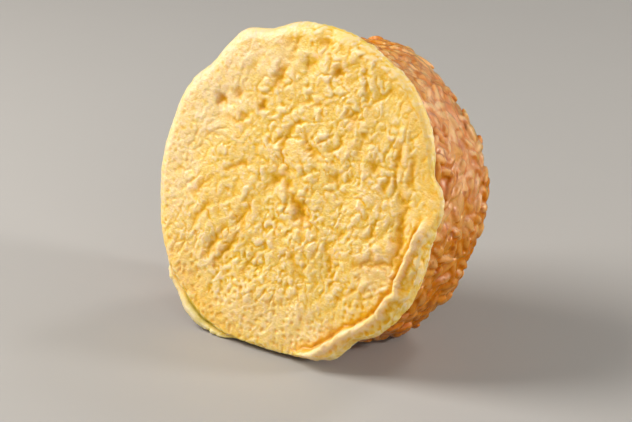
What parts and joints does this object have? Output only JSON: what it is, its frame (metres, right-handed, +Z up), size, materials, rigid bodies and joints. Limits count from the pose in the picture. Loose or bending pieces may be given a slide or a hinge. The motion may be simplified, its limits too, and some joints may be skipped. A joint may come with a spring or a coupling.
{
  "type": "omurice rice ball",
  "caption": "Thick round cake of pressed ketchup rice with a thin crumpled omelette over its face, standing on its edge and leaning back.",
  "frame": {"origin": "on the table under the middle of the whole, at the middle of the bounding box's bottom", "axes": "+Z up; the omelette's face looks towards -Y and leans back by 17 degrees; +X to the right of someone looking at the face"},
  "size_m": [0.0868, 0.058, 0.0791],
  "materials": {
    "omelette": "satin",
    "ketchup_rice": "gloss"
  },
  "bodies": {
    "root": {"egg": "omelette", "rice": "ketchup_rice"}
  },
  "joints": []
}
